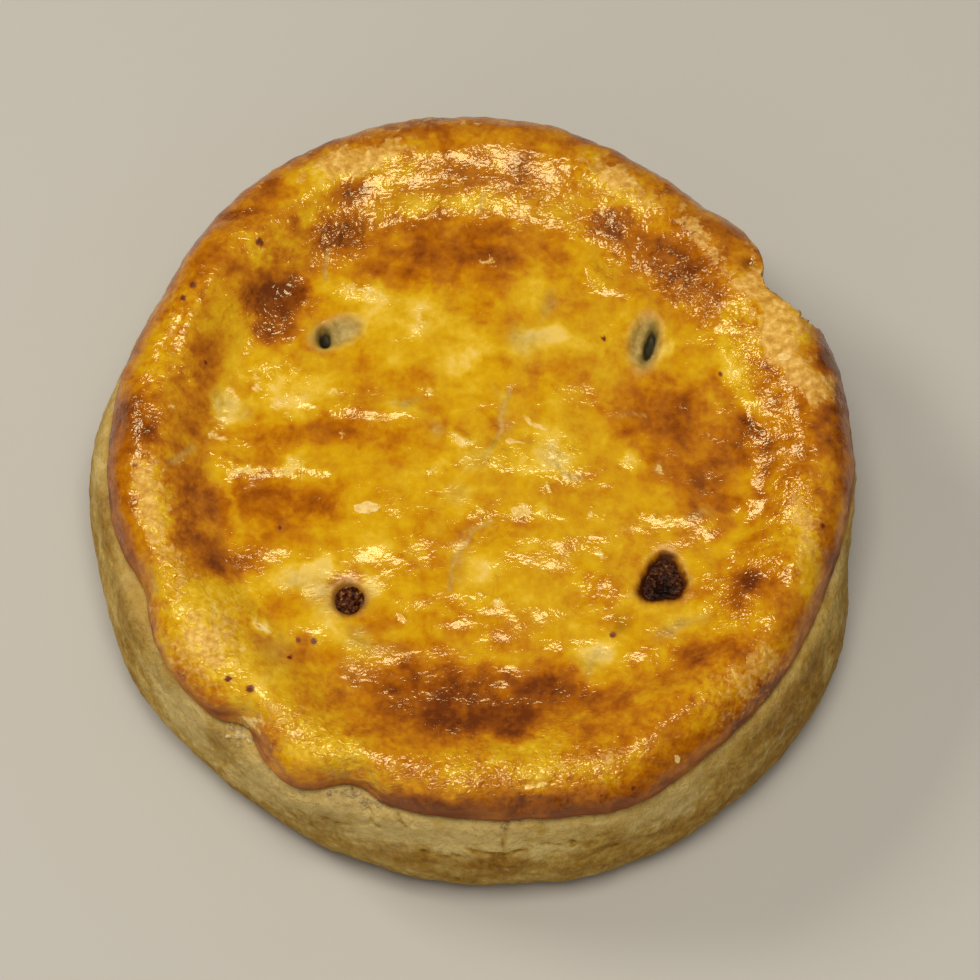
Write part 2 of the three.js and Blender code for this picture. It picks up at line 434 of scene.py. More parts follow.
def digVents(points, top, x, y):
    # the vents, and what crumbled and broke away at the edge
    relief = lidRelief
    dug = points[:, 2].copy()
    uneven = lumps(points, relief["ventEdge"])
    for vent in ventHoles.values():
        distance = ventDistance(points, vent) + uneven
        dug -= vent["depth"] * (1 - ease(distance, 1 - vent["soft"], 1 + 0.5 * vent["soft"]))
        dug -= relief["ventDip"] * np.exp(-((distance / relief["dipReach"]) ** 2))
    lipShare = ventDistance(points, ventHoles[ventLip["vent"]]) - ventLip["share"]
    dug += ventLip["rise"] * bell(lipShare, ventLip["spread"]) * ease(points[:, 0], *ventLip["zone"])
    crumbled = covered(*strayed(points, x, y, 1.0, 0.7), crumbledSpots)
    dug -= crumbled * (relief["crumbledDepth"] + lumps(points, relief["crumbled"]))
    points[top, 2] = np.maximum(dug, lowestDig)[top]
    points[:, 2] -= relief["hollowDepth"] * bell(hollowDistance(x, y), 0.75) * top


# Where the lid browned: x, y, half-widths, turn, amount, as laid out in the photo
brownSpots = [
    (-12, 34, 10, 5.5, 15, 0.3), (2, 34.5, 12, 6, -5, 0.3), (-19.5, 43.3, 3.2, 2.2, 0, 0.4),
    (-21.5, 36, 5.5, 2.8, 35, 0.36), (-28.5, 30, 3.6, 4, 35, 0.3), (-30.4, 22.3, 3.8, 4.8, -20, 0.58),
    (-33, 25.6, 3, 2.4, 30, 0.44), (-28.6, 27.6, 2.6, 2.2, 0, 0.3), (5.8, -25, 8, 4, 0, 0.14),
    (31, 40.3, 5, 3, -40, 0.26), (-49.3, 2, 3, 5, 0, 0.12), (47.5, -9, 3, 6, 0, 0.1),
    (38.5, -34.5, 5, 3, 35, 0.1), (-12, 53.3, 14, 1.6, 8, 0.2), (-31, -6, 12, 5.5, 0, 0.28),
    (-27.5, 4, 9, 2.6, 0, 0.24), (-12, 6, 13, 2.4, 5, 0.14), (-41.5, -6.5, 3, 6.5, 8, 0.26),
    (-41, 11, 2.2, 8, 0, 0.2), (-37, -15.8, 5.2, 2.8, -8, 0.36), (31, 2, 11, 7, 0, 0.34),
    (29, 12, 6, 2.8, -10, 0.24), (34.4, -5.9, 6.5, 3.6, 0, 0.26), (24, 8, 8, 4, 0, 0.12),
    (39, 3, 2.4, 4, 0, 0.15), (25, 33, 8, 5, -35, 0.3), (18.8, 38.4, 3, 2.4, -20, 0.36),
    (31, 27.6, 5.4, 3, -38, 0.34), (0, -36.4, 18, 4.8, 0, 0.42), (-2, -39.8, 11, 3, -6, 0.26),
    (5, -42.5, 2.6, 1.8, 0, 0.2), (12, -36, 8, 3.6, 0, 0.18), (-25, -29.2, 4.5, 2.4, 0, 0.2),
    (-14, -34, 5, 3, -20, 0.16), (1.3, -54.5, 20, 2.4, 0, 0.2), (-12, -53, 7, 2.2, -10, 0.16),
    (21, -52, 9, 2.2, 12, 0.2), (-7.6, -29.8, 12, 5, 0, 0.13), (18.7, -19.5, 3.8, 2.4, 0, 0.2),
    (38, -19.5, 2.4, 3.2, 0, 0.26), (31, -29.8, 2.6, 1.6, 10, 0.24), (53.2, 10, 2.4, 12, 0, 0.24),
    (50, 17.5, 3.2, 2.6, -40, 0.24), (-20.5, -17.8, 2.6, 1.2, 0, 0.3), (-51, 6, 3.4, 4.6, 0, 0.24),
    (-53, -8, 2, 9, 8, 0.16), (51, -14, 2.2, 9, 12, 0.2), (40, -39, 2.2, 9, -42, 0.18),
    (47, 4, 4, 6, 0, 0.14), (38, 36.5, 6, 2.4, -40, 0.18), (-34, 41.5, 7, 2, 45, 0.16),
    (6, 47, 4, 3, 0, 0.16),
]
# paler glaze; along the back rim's inner slope and on ridges and strokes that catch the light, the paleness
# is painted highlight
paleSpots = [
    (-18.5, 27.4, 6.5, 2.4, -6, 0.36), (-29.5, 11.5, 6, 4, 0, 0.26), (-38, 9.6, 2.2, 3.4, 0, 0.45),
    (-7, -4, 8, 5, 0, 0.1), (-4.2, 16, 3.4, 2.4, 0, 0.26), (9.6, 2.2, 4, 4.2, -20, 0.24),
    (9, 19, 4.6, 2.6, 10, 0.4), (6.8, 29, 2.4, 4.5, 0, 0.22), (-27, -18.6, 5, 2.6, 0, 0.32),
    (-24, -16.2, 4, 1.2, 0, 0.3), (-15.5, -18.5, 1.8, 2.2, 0, 0.3), (-22.5, -24.4, 4, 2.6, 0, 0.2),
    (16.4, -31, 3.4, 2.4, 20, 0.36), (21.4, 0.3, 1.6, 1.7, 0, 0.4), (-37, -6, 0.9, 4.5, 10, 0.25),
    (-47, -8, 2.4, 8, 10, 0.34), (-40, -27, 6, 8, -42, 0.42), (-32, -35, 6, 6, -40, 0.24),
    (-22, -44, 9, 3.4, -22, 0.26), (-5.7, 42, 10, 1.7, 2, 0.34), (-20, 47.6, 9, 2.4, 22, 0.36),
    (20.6, 44.4, 6.5, 2.6, -28, 0.34), (44.4, 22, 3.6, 8, 20, 0.34), (48, -10, 2.6, 8, 0, 0.26),
    (38.5, -33.5, 5, 3, 35, 0.22), (-6, 20, 9, 4, 0, 0.14), (-12, 24, 7, 3.4, 0, 0.16),
    (13, -24, 8, 4, 0, 0.12), (3, 0.7, 4.4, 2, -5, 0.2), (-26, 39, 1.8, 1.6, 0, 0.34),
    (-33.5, 33.5, 1, 3.5, 10, 0.26), (-35, -0.7, 2.9, 1, 0, 0.34), (-28.3, -0.5, 2.8, 0.9, 0, 0.32),
    (0, -17, 2.2, 2.2, 0, 0.2), (-31.5, -25.3, 2.4, 0.8, -35, 0.3), (-2.5, 4.1, 2.2, 1.2, -25, 0.3),
    (10, -47, 12, 2.6, 0, 0.14), (38, 13, 3, 5, 15, 0.14), (27.6, 17.4, 0.9, 2.6, -10, 0.35),
]
# dry dough without glaze
bareSpots = [
    (-20.5, 48.2, 8, 2.2, 22, 0.6), (22, 45.5, 6, 2, -28, 0.4), (17.7, -30.6, 3.2, 2.2, 0, 0.3),
    (-15, 51, 6, 2, 12, 0.5), (38.5, -33.5, 4.5, 2.2, 35, 0.28), (41, -29, 1.7, 1.6, 0, 0.75),
    (48, -10, 2.2, 8, 0, 0.26), (-48.4, -6, 2.4, 8.5, 9, 0.4), (-45, -17, 2.2, 5, 22, 0.4),
    (-34, -40.4, 2.4, 1.5, -35, 0.9), (41, 33.5, 1.6, 1.2, -40, 0.4), (47.7, 22.6, 1.8, 2, 0, 1.1),
    (18.5, -45.8, 2.2, 1.6, 0, 0.5), (-47, -22, 2.2, 0.8, -10, 0.6), (-40, -29, 4.5, 6, -40, 0.4),
    (-29, -38, 4, 4, -40, 0.3), (19.5, 47.5, 4, 1.6, -25, 0.6), (-11, -37.6, 3, 0.8, -22, 0.4),
]
# dry dough along the break, and in a trail that leads to it: width, points
bareRoutes = [(1.5, [(41.8, 28.6), (43.9, 22.8), (45.8, 17.0), (47.6, 13.6), (49.6, 11.5)])]
bareTrails = [(1.3, [(30.6, 40.4), (33.4, 36.4), (35.9, 32.8), (38.2, 29.4), (42.0, 26.0)])]
# dough that steam kept pale and grey
steamedSpots = [
    (-23.2, -20.8, 2.6, 3, 0, 0.75), (-26.5, -18.4, 3.6, 1.8, 0, 0.4), (-36, 8.4, 1.6, 1.8, 0, 0.4),
    (-16, -19, 1.5, 1.8, 0, 0.4), (-19, -27, 2, 1.6, -20, 0.3),
    (-15.5, -28.5, 4.4, 1.4, -18, 0.2), (-18.5, -31, 2, 3.2, 0, 0.12), (-38.4, 9.2, 1.5, 2.6, 0, 0.65),
    (7.6, 19.4, 2.6, 2.8, 15, 0.5), (9.5, 25.5, 1.1, 2.6, 0, 0.4), (3, 7, 1.2, 4.5, 8, 0.25),
    (0, 0.8, 2.6, 1.6, 30, 0.3), (10.5, 1.5, 3.2, 1.4, -15, 0.35), (-3.5, -4.7, 2, 1.8, 0, 0.3),
    (29, -25.4, 3.4, 1.4, 18, 0.6), (16.6, -31.2, 2.8, 1.6, 20, 0.55),
    (-3, -14.5, 1.4, 4, -20, 0.3), (-30.5, -29, 2.4, 3.4, 30, 0.25), (-11.5, 10, 2, 0.6, 10, 0.5),
    (-6.1, 5.1, 1.4, 1.5, 0, 0.35), (25.7, -0.5, 1, 0.8, 20, 0.5), (32.7, -9.1, 1.4, 1, 0, 0.35),
    (-44.2, 1.2, 2, 0.7, 35, 0.6), (-34.2, -40.6, 1.4, 1.2, -20, 0.5),
]
# x, y, size
pinholes = [
    (-33.2, 35.5, 0.75), (-43, 28.5, 0.6), (18.3, 19.9, 0.35), (-24.4, -27.9, 0.55), (-26.6, -27.7, 0.4),
    (-33.3, -35, 0.75), (-36.5, -33.5, 0.5), (-29.6, -10.2, 0.3), (19.2, -26.9, 0.5), (21.9, -50.2, 0.4),
    (-44.4, 26.3, 0.5), (-40.9, 16, 0.3), (-50.9, -0.3, 0.3), (50, -9.9, 0.45), (35.6, 14.2, 0.3),
    (42.5, 15.2, 0.3), (-27.8, -30.3, 0.3),
]
# painted shade in the dark hollows of the back vents
shadedSpots = [
    (-23.8, 19.6, 1.6, 2.1, -10, 0.7), (-21, 20.6, 2.6, 1.6, 24, 0.3),
    (24.9, 18.6, 1.5, 3.4, -10, 0.35), (24.2, 16.2, 1, 1.1, -30, 0.5), (25.6, 20.8, 0.8, 1.4, 0, 0.4),
]
# brown stains: x, y, half-widths, turn, amount
stains = [
    (-21.3, -18.2, 1.4, 1.3, 0, 0.3), (20.2, -25.4, 1.6, 2.2, 0, 0.3), (-25.5, -28.4, 3, 1.6, 0, 0.12),
]
# where the glaze is full of tiny blisters
blisterSpots = [
    (-31, 24.2, 5.5, 4.8, -10, 0.8), (-22.2, 34.7, 4, 2.8, 35, 0.8), (-19.7, 37, 3.2, 3, 0, 0.6),
    (18.7, 38.7, 3.2, 2.6, -20, 0.6), (30, 28, 6, 3, -38, 0.5), (-4, -41, 5, 2, -8, 0.6),
    (9, -47, 16, 5, 0, 0.4), (36, -20, 4, 5, 0, 0.4), (-45, -18, 5, 6, -30, 0.4), (40, 14, 3, 5, 15, 0.4),
    (-49, 8, 4, 6, 0, 0.3),
]
# where it is rumpled, and shines in short strokes
rumpledSpots = [
    (-18, 27.5, 5, 2.2, -10, 0.9), (-8.7, 23, 1.6, 2.2, 20, 0.8), (1, 32.3, 2, 1.2, -20, 0.8),
    (-6, 48, 4.5, 1.6, 0, 0.3), (4, 46.5, 4, 3, 0, 0.3), (-14, 45.4, 1.2, 0.6, 0, 0.9),
    (-5.7, 42, 9, 1.4, 2, 0.5), (18.3, 31, 2.6, 3.2, 15, 0.9), (24.7, 30.7, 3.4, 2.6, -30, 0.8),
    (31, 27.2, 5.2, 2.6, -38, 1), (28.7, 36.2, 2.6, 1.5, -30, 0.6), (38.2, 20.4, 2.2, 3, 0, 0.7),
    (-47.6, 10.8, 2.2, 3.4, 20, 0.7), (-29.5, 13, 4.5, 4.5, 0, 0.8), (-37.4, 2.5, 2.2, 2.4, 0, 0.7),
    (-35, -0.7, 2.9, 1, 0, 1), (-28.3, -0.5, 2.8, 0.9, 0, 1), (-18, 10.3, 4.5, 1.5, 10, 0.8),
    (-7.6, 11.5, 1.6, 1, -20, 0.9), (-2.5, 4.1, 2.2, 1.2, -25, 1), (-6.1, 5.1, 1.5, 1.6, 0, 0.6),
    (3, 0.7, 4.4, 1.9, -5, 0.8), (10, 2, 3.4, 4, -20, 0.7), (-7.2, -1.2, 1.3, 0.6, 0, 1),
    (0.4, -7.8, 2, 0.7, 10, 1), (5.2, -7.9, 1.9, 1.2, 0, 0.9), (9, -7.5, 1.6, 1, 0, 0.9),
    (9.8, -4.1, 1.5, 1, 0, 0.9), (13.6, 0, 2.8, 4.2, 0, 0.9), (21.6, 0.2, 1.6, 1.6, 0, 0.7),
    (25.7, -0.5, 1, 0.9, 20, 0.8), (16.2, -7.6, 1.8, 1, 0, 0.9), (25, -8.5, 1.5, 1, 0, 0.8),
    (32.7, -9.1, 1.5, 1, 0, 0.7), (29.3, 9.3, 1.6, 1.1, 0, 0.7), (35.3, 9.5, 1.8, 1.2, -30, 0.7),
    (39.3, 14.3, 2.6, 4.4, 15, 0.7), (39, 3.1, 2.2, 2.2, 0, 0.6), (-35.5, -15, 2.4, 1.4, -20, 0.8),
    (-44.5, -19.7, 5.5, 4.5, -45, 0.9), (-38, -32, 6, 6, -40, 0.8), (-30, -40, 5, 5, -40, 0.8),
    (-31.5, -25.3, 2.4, 0.8, -35, 1), (-23, -41.5, 7, 4, -30, 0.7), (-18.5, -31, 2.2, 3.4, 0, 0.7),
    (-15.5, -28.6, 4.4, 1.5, -18, 0.8), (-12, -37.5, 4.4, 1.8, -25, 0.9), (-4.1, -41, 4.4, 1.6, -8, 1),
    (4.5, -31.7, 1.8, 0.8, -20, 1), (-11.3, -24.6, 0.9, 0.5, -30, 1), (-0.4, -21, 1.2, 0.6, -20, 0.9),
    (2.4, -22.8, 2.3, 0.6, 0, 0.9), (2.8, -34.5, 1.6, 0.7, -10, 0.4), (-9.8, -49.3, 6, 2.4, -5, 0.9),
    (-1, -48.5, 5.5, 3, 0, 0.9), (7.5, -50.5, 3.6, 2.4, 0, 1), (11.4, -42.5, 5, 3.4, 10, 0.6),
    (14.5, -49, 2.6, 1.8, 0, 0.8), (18.7, -18.8, 3.6, 2.2, 0, 0.5), (18.2, -14.8, 1.8, 1.2, -30, 0.8),
    (28.6, -26.2, 2.6, 1.4, 10, 0.7), (-8, -48.5, 9, 3.6, 4, 1), (5, -49.5, 9, 3.4, 0, 1),
    (16, -46.5, 7, 3.4, 16, 0.9), (-19, -46, 6, 3, -20, 0.8), (34.2, -17.8, 2.4, 3.4, 0, 0.7),
    (42.7, -16.8, 1.8, 1.2, 20, 0.8), (21, -47, 5, 2.6, 15, 0.5),
]
# where it has no wrinkles
smoothSpots = [
    (-41.5, -6.5, 3, 7, 8, 0.9), (-41, 12, 2, 7, 0, 0.6), (44, 2, 3, 5, 0, 0.4),
    (37, -34, 5, 9, -45, 0.5),
]
# raised strokes of cream pastry that the glaze ran off, painted pale and bright where they catch the light,
# so partly painted highlight
creamStrokes = [
    (-34.9, -0.9, 2.8, 0.8, 8, 1), (-29.3, -1, 1.9, 0.7, -5, 0.9), (-26.1, -1.5, 1.2, 0.4, -20, 0.6),
    (-30, 9.1, 1.9, 1.4, 0, 0.7), (-36.7, 11.2, 1.4, 2.2, 0, 0.6), (-38.8, 7.4, 2.1, 0.6, -10, 0.6),
    (-46.4, 8.8, 1.2, 0.8, -30, 0.6), (-43.9, 1, 1.6, 0.4, 35, 0.7), (-39, 3.9, 0.8, 1.3, 30, 0.6),
    (-33.3, 13.2, 1.4, 1.6, 20, 0.5), (-22, 10.1, 1.9, 1, 10, 0.5), (-20.5, 4.1, 0.6, 1.2, 20, 0.5),
    (-2.2, 4, 1.7, 0.8, -30, 0.9), (-7.1, -1.1, 1.1, 0.4, 0, 0.9), (4.6, 2.2, 2.2, 0.5, 0, 0.7),
    (8.7, 5.6, 2.8, 0.6, -10, 0.7), (11.3, 1, 2.2, 1, -45, 0.6), (13.7, -2, 1.6, 0.7, -20, 0.8),
    (10.2, -4, 1.2, 0.7, -40, 0.8), (0.4, -7.9, 1.2, 0.4, 0, 1), (5.1, -7.7, 1.6, 0.8, 0, 0.9),
    (9.2, -7.7, 1, 0.4, -30, 0.6), (-7.8, 11.4, 1.2, 0.6, 0, 0.7), (15.9, -8.1, 1, 0.6, 0, 0.8),
    (3.1, -5.3, 0.8, 0.3, 0, 0.7), (-18.5, 28.4, 3, 0.8, -12, 0.7), (-14.8, 26.2, 1.8, 0.5, -20, 0.6),
    (-8.7, 23.4, 0.6, 1.4, 10, 0.6), (4.5, -31.7, 1.6, 0.6, -20, 0.8), (-11.3, -24.6, 0.8, 0.4, -30, 0.8),
    (-0.4, -21, 1, 0.4, -20, 0.7), (2.4, -22.8, 2, 0.4, 0, 0.7), (2.6, -34.5, 1.4, 0.4, -10, 0.6),
    (-31.6, -25.3, 2, 0.6, -38, 0.8), (18.2, -14.8, 1.4, 0.8, -30, 0.6), (21.5, 0.2, 1.2, 1.2, 0, 0.5),
    (25.7, -0.5, 0.8, 0.7, 20, 0.6), (-14, 45.4, 1, 0.5, 0, 0.7), (7.5, -50.5, 2.4, 0.8, 0, 0.6),
    (1, 32.3, 1.4, 0.6, -20, 0.6), (42.7, -16.8, 1.4, 0.6, 20, 0.6), (-33.6, -40.2, 1.3, 0.9, -35, 0.9),
]
# where pale pastry shows through the glaze in flecks
flecked = [
    (-47, -7, 3.4, 9, 8, 0.9), (-40, -28, 7, 9, -40, 0.9), (-22, -45, 9, 4.5, -25, 0.7),
    (38, -35, 8, 5.5, 40, 1), (47, -11, 3.6, 10, 0, 0.9), (10, -47, 14, 4.5, 0, 0.5),
    (-19, 48.5, 8, 3, 18, 0.9), (21, 45, 8, 3.6, -28, 0.8), (44, 22, 4.6, 9, 20, 0.9),
    (-46, 20, 3.6, 9, -25, 0.5), (-33, 36, 4, 6, 45, 0.4),
]


lidTint = {
    "ground": 0.4,
    "onRim": 0.16,
    "atEdge": 0.15,
    "inCreases": 0.2,
    "inCracks": 0.55,
    "atBack": 0.35,
    "inTrails": 0.7,
    "rimZone": (39, 45),
    "edgeZone": (51.5, 55),
    "backAngle": 92,
    "frontAngle": 278,
    # height, size, seed, octaves
    "mottle": [(0.18, (9, 6, 8), 11, 3), (0.13, (3, 2.2, 2.5), 12, 2)],
    "patches": [(0.6, 3.0, 13, 2)],
    "ventFuzz": [(0.12, 1.2, 14, 2), (0.06, 0.5, 34, 1)],
    "wrinkles": [(0.5, 6, 38, 2)],
}


def bareDough(points, x, y, patchy, broken):
    radius, angle = polar(points)
    atBack = ease(radius, 51.5, 54.5) * bell(turnBetween(angle, lidTint["backAngle"]), 30)
    patches = [
        spots(x, y, bareSpots) * patchy,
        lidTint["inTrails"] * lines(x, y, bareTrails) * patchy,
        lidTint["atBack"] * atBack * patchy,
    ]
    return np.maximum.reduce([*patches, lines(x, y, bareRoutes), broken])


def pinholePits(x, y):
    pits = np.zeros_like(x)
    for holeX, holeY, size in pinholes:
        apart = np.hypot(x - holeX, y - holeY)
        pits = np.maximum(pits, 1 - ease(apart, 0.3 * size, 0.3 + 0.75 * size))
    return pits


def fineWrinkles(points, x, y, rumpled):
    # in clusters, and a few everywhere on the rim
    radius, angle = polar(points)
    clusters = 0.3 + 0.7 * ease(waves(points, 1.8, 39, 2), -0.3, 0.35)
    creased = ease(radius, 36.5, 41.5) * (0.26 + lumps(points, lidTint["wrinkles"]))
    creased += 0.5 * bell(radius - 41, 2) * bell(turnBetween(angle, lidTint["backAngle"]), 28)
    wrinkled = np.clip(np.maximum(rumpled, creased), 0, 1)
    return wrinkled * (1 - covered(x, y, smoothSpots)) * clusters + 0.1


def tintLid(lid, broken):
    points, normals = readPoints(lid), readNormals(lid)
    seenX, seenY = asSeen(points)
    x, y = strayed(points, seenX, seenY, 1.6, 0.8)
    radius, angle = polar(points)
    onRim = ease(radius, *lidTint["rimZone"])
    rumpled = spots(x, y, rumpledSpots)
    browning = lidTint["ground"] + lidTint["onRim"] * onRim + lumps(points, lidTint["mottle"])
    browning += spots(x, y, brownSpots) - spots(x, y, paleSpots)
    browning += lidTint["inCreases"] * lines(seenX, seenY, creases)
    browning += lidTint["atEdge"] * ease(radius, *lidTint["edgeZone"])
    # painted sheen: the glaze is paler where its rumpled places glint
    browning -= 0.1 * np.clip(rumpled, 0, 1) * ease(waves(points, 1.3, 36, 2), -0.2, 0.5)
    patchy = 0.75 + lumps(points, lidTint["patches"])
    # what steam and gravy leave on the lid and round the vents, and painted shade in the back vents'
    # hollows
    inCracks = lidTint["inCracks"] * lines(seenX, seenY, cracks)
    marks = {
        "steamed": np.maximum(spots(x, y, steamedSpots) * patchy, inCracks),
        # the small hollow beside the break is darkened with the same colours
        "scorch": np.maximum(covered(x, y, stains), 0.5 * bell(hollowDistance(seenX, seenY), 0.7)),
        "shade": 0.6 * spots(points[:, 0], points[:, 1], shadedSpots),
    }
    matte = np.zeros_like(x)
    fuzz = lumps(points, lidTint["ventFuzz"])
    for vent in ventHoles.values():
        distance = ventDistance(points, vent) + fuzz
        matte = np.maximum(matte, 1 - ease(distance, 1.0, 1.6))
        kind, amount, inner, outer = vent["mark"]
        marks[kind] = np.maximum(marks[kind], amount * (1 - ease(distance, inner, outer)))
    # the steep lip is painted darker, most at the front: partly a baked edge, partly painted shade on faces
    # turned from the light
    steep = 1 - ease(normals[:, 2], 0.05, 0.6)
    writeLayers(
        lid,
        browning=browning,
        bare=bareDough(points, x, y, patchy, broken),
        steamed=marks["steamed"],
        scorch=marks["scorch"],
        blister=0.06 + 0.1 * onRim + spots(x, y, blisterSpots),
        matte=matte,
        pits=pinholePits(seenX, seenY),
        shade=marks["shade"],
        rumpled=fineWrinkles(points, x, y, rumpled),
        cream=spots(x, y, creamStrokes),
        grit=0.12 + 0.1 * onRim + spots(x, y, flecked),
        steep=steep,
        underLip=steep * (0.2 + 0.5 * bell(turnBetween(angle, lidTint["frontAngle"]), 26)),
    )


# The pale case
caseForm = {
    "sides": 100,
    "gridSpan": None,
    "detail": 3,
    # radius, height
    "rings": [
        (52, 0), (55.8, 0.2), (57.9, 4), (58.6, 9.5),
        (57.9, 15.5), (56.9, 21), (55.9, 25.9), (53, 26.5),
    ],
    "closingShares": [0.8, 0.5],
    "bulgeRadius": 58.3,
    "lobeZone": (30, 54),
    "topZone": (12, 25),
    "underLid": 0.3,  # how far the wall stays inside the lid's waves
    # the dent behind the lid's break: spread, depth, zone of heights
    "dents": [(8, 2.0, 0, 4), (8, 2.9, 3, 14), (7.5, 0.9, 15, 25)],
    # height, size, seed, octaves
    "lumps": [(0.4, (10, 10, 12), 21, 2), (0.18, (3.4, 3.4, 5), 22, 2), (0.12, (1.2, 1.2, 2), 23, 2)],
    "pitDepth": 0.35,
    "crackDepth": 0.4,
}
# waves of the wall: angle, spread, how far out
caseLobes = [
    (0, 11, -3), (57, 16, -1.4), (177, 7, 1.3), (206, 7, 0.7), (234, 13, -0.9), (297, 17, 1.3),
    (328, 10, 0.8), (353, 5, -1),
]
# on the wall as laid out in the photo: x, y, half-widths, turn, amount
wallBrownSpots = [
    (2.5, -63.2, 4.5, 1.3, 0, 0.25), (15.2, -60, 2.5, 1, 0, 0.3), (19.2, -58.3, 2.5, 1.3, 15, 0.22),
    (-9.8, -62.4, 3, 1.2, 0, 0.25), (48.2, -32.2, 5.5, 1.3, 63, 0.3), (41.5, -42, 5, 1.3, 50, 0.3),
    (34.8, -49.7, 4.5, 1.3, 40, 0.25), (-50, -26.4, 1.5, 4, 20, 0.2),
    (-38.5, -43.6, 3, 1.5, -45, 0.2), (-56, -8, 1.5, 6, 5, 0.2), (54.5, -17, 1.2, 5, 0, 0.2),
    (-45, -37.5, 5, 3, -45, -0.22), (-34, -48.5, 5, 3, -38, -0.15),
    (29.6, -53.7, 6, 2.5, 35, -0.24),
]
wallGreySpots = [
    (-38, -42.6, 3.2, 1.4, -38, 1), (-19.3, -53, 4.2, 1.7, -15, 1),
    (-8.6, -56, 2.2, 1, 0, 0.8), (3.7, -57.5, 1.8, 1.2, 0, 0.8), (-46.5, -33, 2, 3.5, 30, 0.6),
]
wallOchreSpots = [
    (-55, -9, 1.8, 6, 5, 0.9), (-21.5, -56.5, 3.4, 1.3, -20, 0.6), (-13.5, -61, 3.6, 1.4, -10, 0.7),
    (2, -63, 5, 1.5, 0, 0.6), (46, -37.7, 2, 5, -38, 0.9),
]
# width, points
wallFlour = [
    (0.16, [(44, -44), (44.8, -42), (45.8, -39.7)]), (0.16, [(53.6, -25.6), (54.1, -23.6)]),
    (0.12, [(51, -33.6), (51.4, -32.6)]), (0.12, [(38.6, -49.6), (39, -49.2)]),
    (0.12, [(30.2, -54.6), (30.8, -54.2)]),
]
# on the front of the wall, seen straight on: width, then points of sideways place and height
wallCracks = [
    (0.22, [(3.8, 26.4), (3.4, 23.6), (3, 20.4)]), (0.3, [(-1.5, 19.4), (2.9, 18.8), (6.5, 19.8)]),
    (0.2, [(-17, 26), (-15.6, 24.4), (-16.2, 22.9), (-14.8, 22)]),
    (0.2, [(-12, 25.6), (-11, 23.8)]), (0.18, [(-8.5, 17.5), (-5, 16.9), (-3, 17.6)]),
    (0.18, [(9, 21), (11.4, 20.3), (13.4, 20.9)]),
    (0.18, [(-23.5, 20.6), (-21, 19.6), (-19.4, 20)]), (0.15, [(18, 16.4), (20.5, 15.8)]),
]


def frontCracks(points):
    return lines(points[:, 0], points[:, 2], wallCracks) * (points[:, 1] < 0)


def shapeCase(case):
    points = readPoints(case)
    radius, angle = polar(points)
    height = points[:, 2]
    # the wall follows the lid out where the lid reaches further, and gives way behind the break
    reach = lobeReach(angle, caseLobes)
    further = lobeReach(angle, lidLobes) - reach - caseForm["underLid"]
    reach += np.maximum(further, 0) * ease(height, *caseForm["topZone"])
    for spread, depth, low, high in caseForm["dents"]:
        reach -= depth * bell(turnBetween(angle, brokenMiddle), spread) * ease(height, low, high)
    outward = ease(radius, *caseForm["lobeZone"]) * reach / caseForm["bulgeRadius"]
    points[:, :2] *= (1 + outward)[:, None]
    writePoints(case, points)
    points, normals = readPoints(case), readNormals(case)
    onWall = ease(height, 0.3, 2.5) * ease(radius, 48, 52)
    # pits and cracks in the dry, lumpy skin
    lift = lumps(points, caseForm["lumps"]) - caseForm["crackDepth"] * frontCracks(points)
    lift -= caseForm["pitDepth"] * ease(waves(points, (1.5, 1.5, 2.4), 27, 2), 0.35, 0.75)
    points += normals * (onWall * lift)[:, None]
    writePoints(case, points)


caseTint = {
    "ground": 0.18,
    "atFoot": 0.1,
    "atFrontFoot": 0.16,
    "atRight": 0.16,
    "atLeft": 0.08,
    "paleFront": 0.24,
    "inCracks": 0.5,
    "ochreStreaks": 0.85,
    "ochreFoot": 0.7,
    # height, size, seed, octaves
    "mottle": [(0.18, (16, 16, 9), 27, 2), (0.16, (7, 7, 5), 26, 3), (0.12, (1.7, 1.7, 1.9), 28, 2)],
    "greying": [(0.6, 4, 29, 2)],
    "unlevel": [(1.5, (16, 16, 30), 24, 1)],
}


def tintCase(case):
    tint = caseTint
    points = readPoints(case)
    angle = polar(points)[1]
    x, y = strayed(points, *asSeen(points), 1.0, 0.5)
    height = points[:, 2] + lumps(points, tint["unlevel"])
    low = 1 - ease(height, 6, 22)
    browning = tint["ground"] + spots(x, y, wallBrownSpots) + lumps(points, tint["mottle"])
    browning += low * (tint["atFoot"] + tint["atFrontFoot"] * bell(turnBetween(angle, 275), 40))
    # painted shade: the right of the wall, turned from the key light, is darker; the left browns a little
    browning += tint["atRight"] * ease(points[:, 0], 20, 50) + tint["atLeft"] * ease(-points[:, 0], 44, 56)
    # painted light: the upper wall under the lid's front-left tab is paler
    browning -= tint["paleFront"] * ease(height, 14, 22) * bell(turnBetween(angle, 256), 14)
    browning += tint["inCracks"] * frontCracks(points)
    grey = ease(height, 19, 26) * (0.55 + lumps(points, tint["greying"]))
    # streaks that browned more run round the bulge
    streaks = bell(height - 13, 4.5) * ease(waves(points, (10, 10, 4), 25, 3), -0.2, 0.4)
    ochre = tint["ochreStreaks"] * streaks * bell(turnBetween(angle, 305), 36) + spots(x, y, wallOchreSpots)
    ochre += tint["ochreFoot"] * (1 - ease(height, 1.5, 7)) * bell(turnBetween(angle, 275), 35)
    writeLayers(
        case,
        browning=browning,
        grey=np.maximum(grey, spots(x, y, wallGreySpots)),
        ochre=ochre,
        flour=lines(*asSeen(points), wallFlour),
    )


